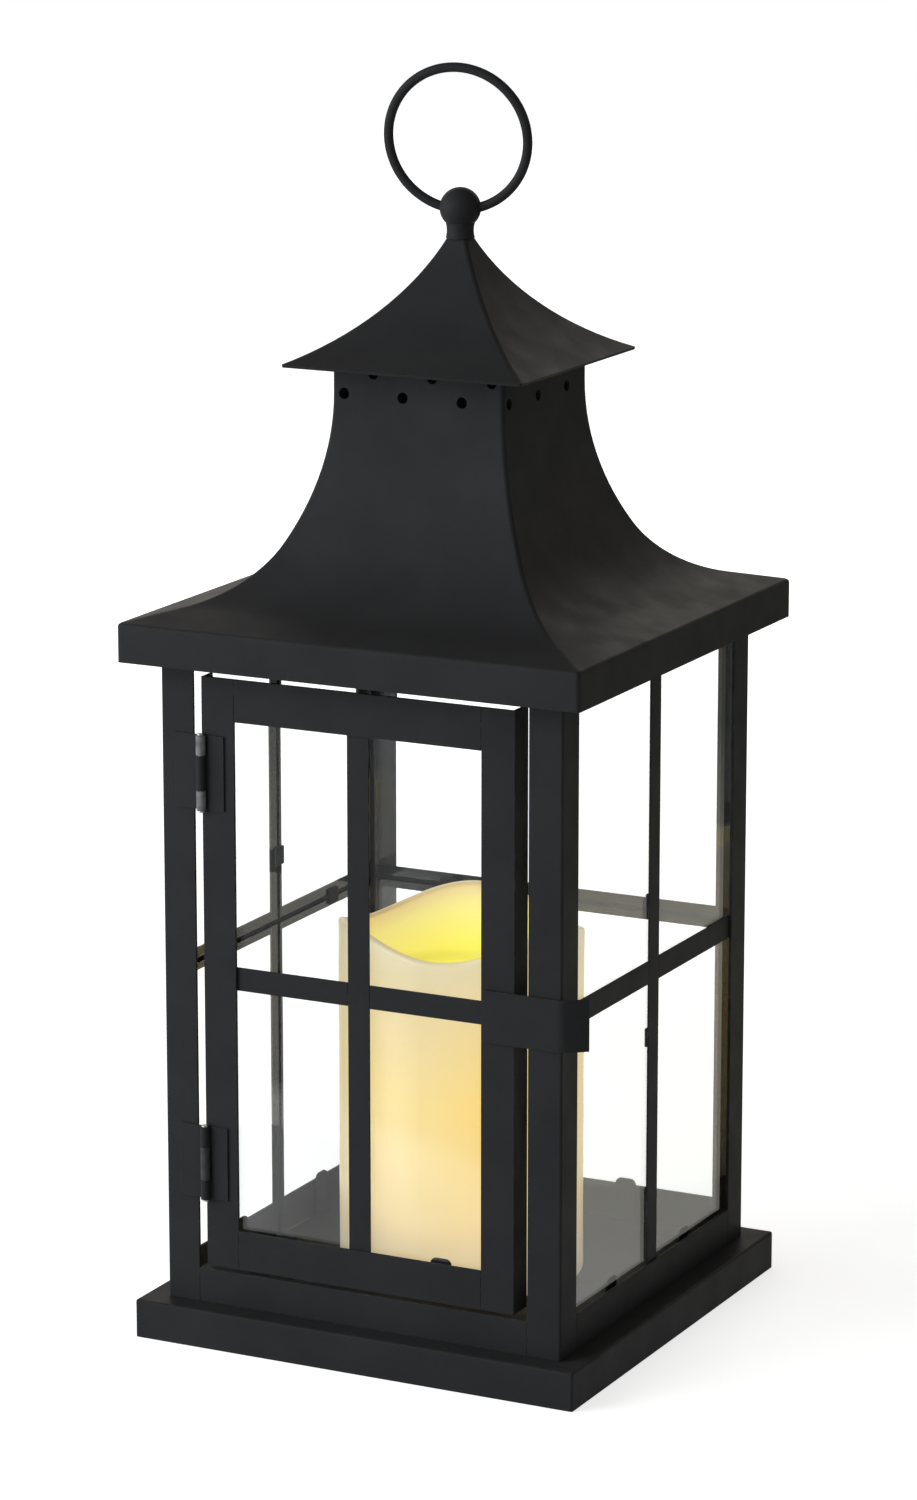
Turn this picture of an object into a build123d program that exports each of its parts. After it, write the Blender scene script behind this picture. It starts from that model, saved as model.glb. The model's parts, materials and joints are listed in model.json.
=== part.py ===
from build123d import *
import math
import os

# All sizes are in millimetres and degrees. +Z is up, the door is on the -Y side,
# and the origin is the middle of the underside of the base.

# Sheet steel
sheet = 1.0
bend_radius = 0.8

# Base plinth, an inverted folded tray with a return flange round its underside
plinth_width = 155.0
plinth_height = 12.6
plinth_ledge = 7.9
plinth_return = 8.0

# Corner posts, folded angles that carry the roof
post_leg = 11.5
body_height = 208.9

# Rails along the foot of each side
side_rail_height = 11.9
sill_height = 11.4
sill_return = 6.0

# Flat glazing bars that cross on every side
bar_width = 7.6
bar_sheet = 0.6
bar_cross_rise = 108.4

# Glass, four panes to a side
glass_thickness = 2.0
glass_gap = 1.6
glass_inset = 4.75
glass_seat = 0.4

# Folded clips that hold the panes
clip_length = 6.0
clip_sheet = 0.8
clip_head = 5.0
clip_bar_margin = 17.4
clip_bar_rise = 22.0
clip_edge_length = 7.2
clip_edge_margin = 26.9
clip_edge_round = 2.0
clip_door_show = 0.8
clip_side_show = 2.9
clip_hang = 5.0

# Door
door_hinge_gap = 2.8
door_latch_gap = 4.6
door_bottom_gap = 1.2
door_top_gap = 3.9
door_top_lip = 2.0
door_stile_width = 11.5
door_top_rail_height = 13.7
door_bottom_rail_height = 12.8
door_hinge_stile_depth = 6.0
door_latch_stile_depth = 9.4
door_rail_depth = 6.0

# Door hinges
hinge_height = 24.0
hinge_top_drop = 30.6
hinge_bottom_rise = 34.5
hinge_middle_height = 11.0
hinge_barrel_diameter = 3.0
hinge_pin_diameter = 1.5
hinge_pin_clearance = 0.05
hinge_pin_head_diameter = 2.2
hinge_pin_head_height = 0.6
hinge_leaf_sheet = 0.6
hinge_post_reach = 9.8
hinge_door_reach = 7.5
hinge_leaf_gap = 0.3
hinge_knuckle_gap = 0.2
hinge_axis_inset = 0.55
hinge_barrel_gap = 0.15
hinge_tongue_gap = 0.1

# Latch, a tab on the door that laps over the corner post and turns back beyond it
latch_height = 16.6
latch_rise = 108.0
latch_foot = 10.1
latch_sheet = 1.0
latch_front_gap = 0.3
latch_fold_radius = 4.0
latch_fold_inset = 1.3
latch_turn = 38.0
latch_lip = 7.2

# Roof: fascia, swept sides and a square neck
eave_overhang = 10.0
fascia_height = 12.3
eave_run = 14.45
eave_slope = 14.0
lower_sweep_radius = 37.1
upper_sweep_radius = 100.2
upper_sweep_turn = 27.9
neck_rise = 14.7
soffit_lap = 11.6

# Vent holes, a zigzag row on each face of the neck
vent_count = 6
vent_diameter = 3.6
vent_margin = 4.1
vent_upper_drop = 8.0
vent_row_gap = 6.9

# Cap, a small concave pyramid on the neck
cap_overhang = 11.95
cap_eave_slope = 24.1
cap_apex_slope = 64.3
cap_apex_width = 7.0
cap_seat_gap = 0.1

# Finial and the strap, stud and nut that hold the cap down
strap_width = 14.0
strap_thickness = 1.5
strap_drop = 5.1
stud_diameter = 4.0
stud_clearance = 0.1
stud_grip = 1.4
stud_tail = 1.5
nut_flats = 7.0
nut_height = 3.2
collar_diameter = 9.2
collar_waist = 8.5
collar_height = 4.8
ball_diameter = 13.0

# Hanging ring, threaded through the ball
ring_radius = 22.5
ring_wire_diameter = 3.0
ring_clearance = 0.1
ring_turn = 10.1
ring_lean = 6.9

# Flameless candle
candle_diameter = 78.0
candle_height = 116.1
candle_wall = 3.2
candle_web = 2.5
candle_recess = 22.0
candle_foot = 1.2
wave_count = 3
wave_rise = 3.8
wave_phase = 108.0
wave_grid = 13

# Works of the candle
cell_diameter = 14.2
cell_length = 49.0
cell_button_diameter = 5.5
cell_button_height = 1.0
cell_gap = 0.8
cell_clearance = 0.3
contact_thickness = 0.5
contact_width = 8.0
works_fit = 0.1
works_wall = 2.0
works_floor = 2.5
works_bore = 35.0
board_diameter = 32.0
board_thickness = 1.6
lamp_holder_diameter = 14.0
lamp_diameter = 5.0
lamp_flange_diameter = 6.0
lamp_flange_height = 1.0
lamp_barrel_height = 3.0
lid_thickness = 3.0
lid_clearance = 0.08
lug_reach = 1.1
lug_height = 1.2
lug_angle = 20.0
lug_play = 0.2
lid_twist = 30.0
coin_slot_length = 16.0
coin_slot_width = 2.4
coin_slot_depth = 1.0
switch_travel = 3.0
switch_block_length = 7.0
switch_block_width = 5.0
switch_block_height = 2.0
switch_nub_length = 3.0
switch_nub_width = 2.6
switch_nub_reach = 0.8
switch_play = 0.2
switch_wall = 1.0

# Extra length on cutting tools, so that they pass right through what they cut
overcut = 1.0

# Sizes that follow from the driving ones
plinth_half = plinth_width / 2
post_half = plinth_half - plinth_ledge
post_edge = post_half - post_leg
soffit_height = plinth_height + body_height
bar_cross_height = plinth_height + bar_cross_rise
bar_front = -(post_half - sheet)
bar_back = bar_front + bar_sheet
glass_back = bar_back + glass_thickness
clip_back = glass_back + clip_sheet
glass_half = post_half - glass_inset

door_left = -(post_edge - door_hinge_gap)
door_right = post_edge - door_latch_gap
door_middle = (door_left + door_right) / 2
door_half = (door_right - door_left) / 2
door_bottom = plinth_height + sill_height + door_bottom_gap
door_top = soffit_height - door_top_gap
door_hinge_stile_back = -(post_half - door_hinge_stile_depth)
door_latch_stile_back = -(post_half - door_latch_stile_depth)
door_rail_back = -(post_half - door_rail_depth)
clip_bar_offset = door_half - clip_bar_margin
clip_edge_offset = door_half - clip_edge_margin

barrel_radius = hinge_barrel_diameter / 2
hinge_x = door_left + hinge_axis_inset
hinge_y = -(post_half + hinge_barrel_gap + barrel_radius)
hinge_centres = {
    "upper": door_top - hinge_top_drop,
    "lower": door_bottom + hinge_bottom_rise,
}

eave_half = post_half + eave_overhang
fascia_top = soffit_height + fascia_height
eave_slope_angle = math.radians(eave_slope)
lower_angle = math.radians(90 - eave_slope)
upper_angle = math.radians(upper_sweep_turn)
sweep_foot = (eave_half - eave_run, fascia_top + eave_run * math.tan(eave_slope_angle))
lower_centre = (
    sweep_foot[0] + lower_sweep_radius * math.cos(lower_angle),
    sweep_foot[1] + lower_sweep_radius * math.sin(lower_angle),
)
sweep_radius_step = upper_sweep_radius - lower_sweep_radius
upper_centre = (
    lower_centre[0] + sweep_radius_step * math.cos(upper_angle),
    lower_centre[1] + sweep_radius_step * math.sin(upper_angle),
)
neck_half = upper_centre[0] - upper_sweep_radius
neck_start = upper_centre[1]
neck_top = neck_start + neck_rise
neck_inner = neck_half - sheet

cap_half = neck_half + cap_overhang
cap_apex_half = cap_apex_width / 2
cap_eave_sine = math.sin(math.radians(cap_eave_slope))
cap_apex_sine = math.sin(math.radians(cap_apex_slope))
cap_radius = (cap_half - cap_apex_half) / (cap_apex_sine - cap_eave_sine)
cap_inner_radius = cap_radius + sheet
cap_centre_x = cap_half + cap_radius * cap_eave_sine
cap_seat_drop = math.sqrt(cap_inner_radius**2 - (cap_centre_x - neck_half) ** 2)
cap_centre_z = neck_top + cap_seat_gap + cap_seat_drop


def cap_height(radius, half_width):
    """Height of a cap surface of the given sweep radius at one half width."""
    return cap_centre_z - math.sqrt(radius**2 - (cap_centre_x - half_width) ** 2)


cap_top = cap_height(cap_radius, cap_apex_half)
collar_top = cap_top + collar_height
collar_radius = collar_diameter / 2
ball_radius = ball_diameter / 2
ball_height = collar_top + math.sqrt(ball_radius**2 - collar_radius**2)
stud_radius = stud_diameter / 2
stud_hole_radius = stud_radius + stud_clearance
strap_top = neck_top - strap_drop
strap_bottom = strap_top - strap_thickness
nut_bottom = strap_bottom - nut_height

wire_radius = ring_wire_diameter / 2
ring_sag = ring_radius - math.sqrt(ring_radius**2 - ball_radius**2)
ring_bore_radius = wire_radius + ring_sag / 2 + ring_clearance
ring_arm = ring_radius - ring_sag / 2

candle_radius = candle_diameter / 2
candle_bore = candle_radius - candle_wall
candle_bottom = plinth_height
candle_top = candle_bottom + candle_height
recess_floor = candle_top - candle_recess
web_bottom = recess_floor - candle_web
rim_middle = candle_radius - candle_wall / 2
works_bottom = candle_bottom + candle_foot
lid_top = works_bottom + lid_thickness
cell_bottom = lid_top + contact_thickness + cell_clearance
cell_top = cell_bottom + cell_length + cell_button_height
bore_top = cell_top + contact_thickness
works_top = bore_top + works_floor
board_top = works_top + board_thickness
cell_offset = (cell_diameter + cell_gap) / 2
bore_radius = works_bore / 2
lid_radius = bore_radius - lid_clearance
lug_radius = lid_radius + lug_reach
lug_low = works_bottom + (lid_thickness - lug_height) / 2
lug_high = lug_low + lug_height
lamp_radius = lamp_diameter / 2
switch_offset = (bore_radius + works_wall + candle_bore) / 2
switch_floor = works_bottom + works_floor
switch_rest = -switch_travel / 2
switch_block_low = switch_floor + switch_play
switch_block_top = switch_block_low + switch_block_height


def block(x_span, y_span, z_span):
    """Box between two limits on each axis."""
    spans = (x_span, y_span, z_span)
    size = [high - low for low, high in spans]
    middle = [(high + low) / 2 for low, high in spans]
    return Pos(*middle) * Box(*size)


def upright(radius, low, high, x=0, y=0):
    """Round bar along Z between two heights."""
    return Pos(x, y, (low + high) / 2) * Cylinder(radius, high - low)


def both_sides(start, end):
    """The same span on the +X side and on the -X side."""
    return [(start, end), (-end, -start)]


def group(solids):
    """Several separate solids kept in one node."""
    return Compound(children=list(solids))


def placed(place, shape):
    """A node moved to its place, solid by solid."""
    solids = [place * solid for solid in shape.solids()]
    return solids[0] if len(solids) == 1 else group(solids)


def run(points):
    """Straight edge through two points, or an arc through three."""
    return Line(*points) if len(points) == 2 else ThreePointArc(*points)


# Base and posts

def base_plinth():
    outer = block((-plinth_half, plinth_half), (-plinth_half, plinth_half), (0, plinth_height))
    folds = outer.edges().filter_by(Axis.Z) + outer.edges().group_by(Axis.Z)[-1]
    outer = fillet(folds, bend_radius)
    hollow_half = plinth_half - sheet
    hollow = block(
        (-hollow_half, hollow_half), (-hollow_half, hollow_half), (sheet, plinth_height - sheet)
    )
    mouth_half = plinth_half - plinth_return
    mouth = block((-mouth_half, mouth_half), (-mouth_half, mouth_half), (-overcut, sheet + overcut))
    return outer - hollow - mouth


def corner_post():
    """Front right post; the others are turned copies."""
    span = (post_edge, post_half)
    angle = block(span, (-post_half, -post_edge), (plinth_height, soffit_height))
    folds = angle.edges().filter_by(Axis.Z).group_by(Axis.X)[-1].sort_by(Axis.Y)[0]
    angle = fillet(folds, bend_radius)
    inside = block(
        (post_edge - overcut, post_half - sheet),
        (-post_half + sheet, -post_edge + overcut),
        (plinth_height - overcut, soffit_height + overcut),
    )
    return angle - inside


def foot_rail(height):
    """Rail between two posts, drawn on the front side."""
    return block(
        (-post_edge, post_edge),
        (-post_half, -post_half + sheet),
        (plinth_height, plinth_height + height),
    )


def front_sill():
    """Sill under the door: a rail with a return along its top."""
    top = plinth_height + sill_height
    depth = (-post_half, -post_half + sill_return)
    return foot_rail(sill_height) + block((-post_edge, post_edge), depth, (top - sheet, top))


# Glazing, drawn on the front side

def upright_bar(low, high):
    return block((-bar_width / 2, bar_width / 2), (bar_front, bar_back), (low, high))


def cross_bar(reach):
    """Two halves of the level bar, each butted to the upright bar."""
    height = (bar_cross_height - bar_width / 2, bar_cross_height + bar_width / 2)
    return group(
        block(span, (bar_front, bar_back), height) for span in both_sides(bar_width / 2, reach)
    )


def panes(reach, low, high):
    heights = [
        (low + glass_seat, bar_cross_height - glass_gap / 2),
        (bar_cross_height + glass_gap / 2, high - glass_seat),
    ]
    return group(
        block(span, (bar_back, glass_back), height)
        for span in both_sides(glass_gap / 2, reach)
        for height in heights
    )


def level_clip(x):
    """Clip on the level bar: a stem between the panes and a head over their edges."""
    span = (x - clip_length / 2, x + clip_length / 2)
    stem = block(
        span, (bar_back, clip_back),
        (bar_cross_height - clip_sheet / 2, bar_cross_height + clip_sheet / 2),
    )
    head = block(
        span, (glass_back, clip_back),
        (bar_cross_height - clip_head / 2, bar_cross_height + clip_head / 2),
    )
    return stem + head


def upright_clip(z):
    """Clip on the upright bar."""
    span = (z - clip_length / 2, z + clip_length / 2)
    stem = block((-clip_sheet / 2, clip_sheet / 2), (bar_back, clip_back), span)
    head = block((-clip_head / 2, clip_head / 2), (glass_back, clip_back), span)
    return stem + head


def edge_clip(x, seat, tip):
    """Clip at the foot or head of a pane, fixed at its seat and rounded at its tip."""
    span = (x - clip_edge_length / 2, x + clip_edge_length / 2)
    plate = block(span, (glass_back, clip_back), sorted((seat, tip)))
    levels = plate.edges().filter_by(Axis.Y).group_by(Axis.Z)
    return fillet(levels[-1] if tip > seat else levels[0], clip_edge_round)


def clips(low, high, foot_top):
    solids = [level_clip(side * clip_bar_offset) for side in (-1, 1)]
    solids += [upright_clip(bar_cross_height + side * clip_bar_rise) for side in (-1, 1)]
    for side in (-1, 1):
        solids.append(edge_clip(side * clip_edge_offset, low, foot_top))
        solids.append(edge_clip(side * clip_edge_offset, high, high - clip_hang))
    return group(solids)


def side_nodes(name, turn):
    """The fixed pieces of one side, turned from the front to their place."""
    low = plinth_height
    high = soffit_height
    foot_top = low + side_rail_height + clip_side_show
    made = {
        name + "_foot_rail": foot_rail(side_rail_height),
        name + "_upright_bar": upright_bar(low, high),
        name + "_cross_bar": cross_bar(glass_half),
        name + "_glass_panes": panes(glass_half, low, high),
        name + "_glass_clips": clips(low, high, foot_top),
    }
    return {node: placed(Rot(0, 0, turn), shape) for node, shape in made.items()}


# Door, its frame and glazing drawn about the middle of the front

def door_stile(side):
    """Upright angle of the door frame: a face and a return along its outer edge."""
    if side > 0:
        face_span = (door_half - door_stile_width, door_half)
        return_span = (door_half - sheet, door_half)
        return_back = door_latch_stile_back
    else:
        face_span = (-door_half, -door_half + door_stile_width)
        return_span = (-door_half, -door_half + sheet)
        return_back = door_hinge_stile_back
    height = (door_bottom, door_top)
    face = block(face_span, (-post_half, bar_front), height)
    return face + block(return_span, (-post_half, return_back), height)


def door_rail(face_height, return_height):
    """Level angle of the door frame, butted between the stiles."""
    face_reach = door_half - door_stile_width
    return_reach = door_half - sheet
    face = block((-face_reach, face_reach), (-post_half, bar_front), face_height)
    return face + block((-return_reach, return_reach), (bar_front, door_rail_back), return_height)


def door_nodes():
    low = door_bottom + sheet
    return_top = door_top - door_top_lip
    high = return_top - sheet
    rail_top = door_bottom + door_bottom_rail_height
    rail_low = door_top - door_top_rail_height
    reach = door_half - sheet
    drawn = {
        "door_left_stile": door_stile(-1),
        "door_right_stile": door_stile(1),
        "door_bottom_rail": door_rail((door_bottom, rail_top), (door_bottom, low)),
        "door_top_rail": door_rail((rail_low, door_top), (high, return_top)),
        "door_upright_bar": upright_bar(low, high),
        "door_cross_bar": cross_bar(reach),
        "door_glass_panes": panes(reach - glass_seat, low, high),
        "door_glass_clips": clips(low, high, rail_top + clip_door_show),
    }
    made = {node: placed(Pos(door_middle, 0, 0), shape) for node, shape in drawn.items()}
    made["door_latch"] = door_latch()
    return made


def door_latch():
    """Tab drawn in plan: a foot on the door, an arm over the post, a fold and a lip."""
    foot_edge = door_right - latch_foot
    front = -(post_half + latch_sheet)
    back = -(post_half + latch_front_gap)
    fold_x = post_half - latch_fold_inset
    fold_y = back + latch_fold_radius

    def lip_points(radius):
        """Middle and end of the fold, and the tip of the lip, on one face of the tab."""
        turns = [math.radians(latch_turn) / 2, math.radians(latch_turn)]
        folds = [(fold_x + radius * math.sin(a), fold_y - radius * math.cos(a)) for a in turns]
        end_x, end_y = folds[-1]
        tip = (end_x + latch_lip * math.cos(turns[-1]), end_y + latch_lip * math.sin(turns[-1]))
        return folds + [tip]

    inner_middle, inner_end, inner_tip = lip_points(latch_fold_radius)
    outer_middle, outer_end, outer_tip = lip_points(fold_y - front)
    profile = make_face([run(points) for points in [
        [(foot_edge, front), (foot_edge, -post_half)],
        [(foot_edge, -post_half), (door_right, -post_half)],
        [(door_right, -post_half), (door_right, back)],
        [(door_right, back), (fold_x, back)],
        [(fold_x, back), inner_middle, inner_end],
        [inner_end, inner_tip],
        [inner_tip, outer_tip],
        [outer_tip, outer_end],
        [outer_end, outer_middle, (fold_x, front)],
        [(fold_x, front), (foot_edge, front)],
    ]])
    low = plinth_height + latch_rise - latch_height / 2
    return Pos(0, 0, low) * extrude(profile, amount=latch_height, dir=(0, 0, 1))


# Hinges

def hinge_spans(middle):
    """Heights of the end knuckles and of the middle one."""
    half = hinge_height / 2
    inner = hinge_middle_height / 2
    ends = [
        (middle - half, middle - inner - hinge_knuckle_gap),
        (middle + inner + hinge_knuckle_gap, middle + half),
    ]
    return ends, [(middle - inner, middle + inner)]


def hinge_leaf(side, middle, knuckles):
    """Leaf on the post (side -1) or on the door (side 1), with its own knuckles."""
    plate_start = hinge_x + side * (barrel_radius + hinge_leaf_gap)
    if side > 0:
        plate_end = hinge_x + hinge_door_reach
        tongue_end = hinge_x
    else:
        plate_end = hinge_x - hinge_post_reach
        tongue_end = door_left - hinge_tongue_gap
    thickness = (-(post_half + hinge_leaf_sheet), -post_half)
    plate = sorted((plate_start, plate_end))
    leaf = block(plate, thickness, (middle - hinge_height / 2, middle + hinge_height / 2))
    tongue = sorted((plate_start, tongue_end))
    for low, high in knuckles:
        leaf += block(tongue, thickness, (low, high))
        leaf += upright(barrel_radius, low, high, hinge_x, hinge_y)
    hole_radius = hinge_pin_diameter / 2 + hinge_pin_clearance
    half = hinge_height / 2 + overcut
    return leaf - upright(hole_radius, middle - half, middle + half, hinge_x, hinge_y)


def hinge_pin(middle):
    half = hinge_height / 2
    outer = half + hinge_pin_head_height
    pin = upright(hinge_pin_diameter / 2, middle - half, middle + half, hinge_x, hinge_y)
    for low, high in ((middle - outer, middle - half), (middle + half, middle + outer)):
        pin += upright(hinge_pin_head_diameter / 2, low, high, hinge_x, hinge_y)
    return pin


def hinge_nodes():
    """The two hinges are fitted opposite ways up, so their knuckles alternate."""
    made = {}
    for name, middle in hinge_centres.items():
        ends, centre = hinge_spans(middle)
        post_knuckles, door_knuckles = (ends, centre) if name == "upper" else (centre, ends)
        made[name + "_hinge_post_leaf"] = hinge_leaf(-1, middle, post_knuckles)
        made[name + "_hinge_door_leaf"] = hinge_leaf(1, middle, door_knuckles)
        made[name + "_hinge_pin"] = hinge_pin(middle)
    return made


# Roof

def sweep_point(centre, radius, angle):
    return (centre[0] - radius * math.cos(angle), centre[1] - radius * math.sin(angle))


def four_sided(segments):
    """Solid with one outline on all four sides.

    The segments run down one side as (half width, height) points: two for a line, three for an arc.
    """
    edges = []
    for side in (1, -1):
        for points in segments:
            edges.append(run([Vector(side * half, 0, height) for half, height in points]))
    for half, height in (segments[0][0], segments[-1][-1]):
        edges.append(Line((half, 0, height), (-half, 0, height)))
    reach = max(half for points in segments for half, height in points) + overcut
    slab = extrude(make_face(edges), amount=reach, dir=(0, 1, 0), both=True)
    return slab & (Rot(0, 0, 90) * slab)


def roof_form(inset, top, bottom):
    """Roof outline moved in by the inset, from the top of the neck to the foot of the fascia."""
    upper = upper_sweep_radius + inset
    lower = lower_sweep_radius + inset
    arc_joint = sweep_point(upper_centre, upper, upper_angle)
    slope_joint = sweep_point(lower_centre, lower, lower_angle)
    eave = eave_half - inset
    eave_height = slope_joint[1] - (eave - slope_joint[0]) * math.tan(eave_slope_angle)
    neck = neck_half - inset
    return four_sided([
        [(neck, top), (neck, neck_start)],
        [(neck, neck_start), sweep_point(upper_centre, upper, upper_angle / 2), arc_joint],
        [
            arc_joint,
            sweep_point(lower_centre, lower, (upper_angle + lower_angle) / 2),
            slope_joint,
        ],
        [slope_joint, (eave, eave_height)],
        [(eave, eave_height), (eave, bottom)],
    ])


def vent_drill():
    """Drill for the zigzag vent holes of the front face of the neck."""
    step = 2 * (neck_half - vent_margin) / (vent_count - 1)
    upper = neck_top - vent_upper_drop
    holes = []
    for index in range(vent_count):
        x = -neck_half + vent_margin + index * step
        z = upper if index % 2 else upper - vent_row_gap
        drill = Rot(90, 0, 0) * Cylinder(vent_diameter / 2, 4 * sheet + 2 * overcut)
        holes.append(Pos(x, -neck_half, z) * drill)
    return holes


def roof_shell():
    shell = roof_form(0, neck_top, soffit_height)
    shell -= roof_form(sheet, neck_top + overcut, soffit_height - overcut)
    for turn in (0, 90, 180, 270):
        shell -= [Rot(0, 0, turn) * drill for drill in vent_drill()]
    return shell


def eave_soffit():
    """Flat square ring that ties the posts to the foot of the fascia."""
    outer = eave_half - sheet
    inner = post_half - soffit_lap
    plate = block((-outer, outer), (-outer, outer), (soffit_height, soffit_height + sheet))
    opening = block(
        (-inner, inner), (-inner, inner), (soffit_height - overcut, soffit_height + sheet + overcut)
    )
    return plate - opening


def cap_arc(radius, half_low, half_high):
    """Arc of the cap outline from its upper end to its lower end."""
    halves = (half_high, (half_high + half_low) / 2, half_low)
    return [(half, cap_height(radius, half)) for half in halves]


def roof_cap():
    edge_bottom = cap_height(cap_inner_radius, cap_half)
    outer_arc = cap_arc(cap_radius, cap_half, cap_apex_half)
    outer = four_sided([outer_arc, [outer_arc[-1], (cap_half, edge_bottom)]])
    ceiling = cap_top - sheet
    inner_apex = cap_centre_x - math.sqrt(cap_inner_radius**2 - (cap_centre_z - ceiling) ** 2)
    inner_arc = cap_arc(cap_inner_radius, cap_half + overcut, inner_apex)
    inner_foot = (cap_half + overcut, edge_bottom - overcut)
    inner = four_sided([inner_arc, [inner_arc[-1], inner_foot]])
    return outer - inner - upright(stud_hole_radius, ceiling - overcut, cap_top + overcut)


# Finial

def neck_strap():
    strap = block(
        (-neck_inner, neck_inner), (-strap_width / 2, strap_width / 2), (strap_bottom, strap_top)
    )
    return strap - upright(stud_hole_radius, strap_bottom - overcut, strap_top + overcut)


def stud_nut():
    hexagon = RegularPolygon(nut_flats / 2, 6, major_radius=False)
    nut = Pos(0, 0, nut_bottom) * extrude(hexagon, amount=nut_height)
    return nut - upright(stud_hole_radius, nut_bottom - overcut, strap_bottom + overcut)


def finial_collar():
    """Waisted ring between the cap and the ball."""
    waist = (collar_waist / 2, 0, (cap_top + collar_top) / 2)
    profile = make_face([run(points) for points in [
        [(stud_hole_radius, 0, cap_top), (collar_radius, 0, cap_top)],
        [(collar_radius, 0, cap_top), waist, (collar_radius, 0, collar_top)],
        [(collar_radius, 0, collar_top), (stud_hole_radius, 0, collar_top)],
        [(stud_hole_radius, 0, collar_top), (stud_hole_radius, 0, cap_top)],
    ]])
    return revolve(profile, Axis.Z)


def finial_ball():
    """Ball with a flat foot, a socket for the stud and a bore for the ring."""
    ball = Pos(0, 0, ball_height) * Sphere(ball_radius)
    foot = block(
        (-ball_diameter, ball_diameter), (-ball_diameter, ball_diameter),
        (collar_top - ball_diameter, collar_top),
    )
    socket = upright(stud_hole_radius, collar_top - overcut, collar_top + stud_grip + stud_clearance)
    bore = Rot(0, 90, 0) * Cylinder(ring_bore_radius, ball_diameter + 2 * overcut)
    bore = Pos(0, 0, ball_height) * Rot(0, 0, ring_turn) * bore
    return ball - foot - socket - bore


def hang_ring():
    """Ring through the bore of the ball, turned with the ball and leaning forward."""
    ring = Pos(0, 0, ring_arm) * Rot(90, 0, 0) * Torus(ring_radius, wire_radius)
    return Pos(0, 0, ball_height) * Rot(0, 0, ring_turn) * Rot(ring_lean, 0, 0) * ring


# Candle

def wave_height(x, y):
    """Height of the melted-looking rim, which rises and falls round the candle."""
    swell = wave_rise * (math.hypot(x, y) / rim_middle) ** wave_count
    return candle_top + swell * math.cos(wave_count * (math.atan2(y, x) - math.radians(wave_phase)))


def above_rim():
    """Everything above the wavy rim."""
    reach = candle_radius + overcut
    places = [reach * (2 * index / (wave_grid - 1) - 1) for index in range(wave_grid)]
    surface = Face.make_surface_from_array_of_points(
        [[Vector(x, y, wave_height(x, y)) for x in places] for y in places]
    )
    return extrude(surface, amount=candle_height, dir=(0, 0, 1))


def candle_shell():
    shell = upright(candle_radius, candle_bottom, candle_top + 2 * wave_rise)
    shell -= upright(candle_bore, recess_floor, candle_top + candle_height)
    shell -= upright(candle_bore, candle_bottom - overcut, web_bottom)
    hole = lamp_flange_diameter / 2 + works_fit
    shell -= upright(hole, web_bottom - overcut, recess_floor + overcut)
    return shell - above_rim()


def ring_sector(radius, low, high, angle, middle):
    """Round slice about Z, centred on one direction."""
    slice_align = (Align.NONE, Align.NONE, Align.MIN)
    wedge = Cylinder(radius, high - low, arc_size=angle, align=slice_align)
    return Pos(0, 0, low) * Rot(0, 0, middle - angle / 2) * wedge


def candle_works():
    """Base flange and battery tube, with the bayonet groove and slots for the lid."""
    flange_radius = candle_bore - works_fit
    body = upright(flange_radius, works_bottom, switch_floor)
    body += upright(bore_radius + works_wall, works_bottom, works_top)
    body -= upright(bore_radius, works_bottom - overcut, bore_top)
    groove_radius = lug_radius + lug_play
    groove_low = lug_low - lug_play
    body -= upright(groove_radius, groove_low, lug_high + lug_play)
    slot_angle = lug_angle + 2 * math.degrees(lug_play / lug_radius)
    for middle in (lid_twist, lid_twist + 180):
        body -= ring_sector(groove_radius, works_bottom - overcut, lug_high, slot_angle, middle)
    half_slot = (switch_nub_length + switch_travel) / 2 + switch_play
    half_width = switch_nub_width / 2 + switch_play
    slot = block(
        (-half_slot, half_slot),
        (-switch_offset - half_width, -switch_offset + half_width),
        (works_bottom - overcut, switch_floor + overcut),
    )
    return body - slot


def battery_cells():
    cells = []
    for side in (-1, 1):
        x = side * cell_offset
        body_top = cell_bottom + cell_length
        cell = upright(cell_diameter / 2, cell_bottom, body_top, x)
        cells.append(cell + upright(cell_button_diameter / 2, body_top, cell_top, x))
    return group(cells)


def battery_contacts():
    """Two contact plates under the roof of the battery tube."""
    half = contact_width / 2
    return group(
        block((x - half, x + half), (-half, half), (cell_top, bore_top))
        for x in (-cell_offset, cell_offset)
    )


def lamp_holder():
    return upright(lamp_holder_diameter / 2, board_top, web_bottom)


def candle_lamp():
    """Small lamp with a flange, a barrel and a domed tip."""
    flange_top = web_bottom + lamp_flange_height
    barrel_top = recess_floor + lamp_barrel_height
    lamp = upright(lamp_flange_diameter / 2, web_bottom, flange_top)
    lamp += upright(lamp_radius, flange_top, barrel_top)
    tip = Pos(0, 0, barrel_top) * Sphere(lamp_radius)
    return lamp + tip


def battery_lid():
    """Round lid with two bayonet lugs and a coin slot in its underside."""
    lid = upright(lid_radius, works_bottom, lid_top)
    for middle in (0, 180):
        lid += ring_sector(lug_radius, lug_low, lug_high, lug_angle, middle)
    coin_slot = block(
        (-coin_slot_length / 2, coin_slot_length / 2),
        (-coin_slot_width / 2, coin_slot_width / 2),
        (works_bottom - overcut, works_bottom + coin_slot_depth),
    )
    return lid - coin_slot


def lid_contact():
    """Strip on the lid that joins the two cells."""
    reach = cell_offset + contact_width / 2
    return block(
        (-reach, reach), (-contact_width / 2, contact_width / 2), (lid_top, lid_top + contact_thickness)
    )


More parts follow.
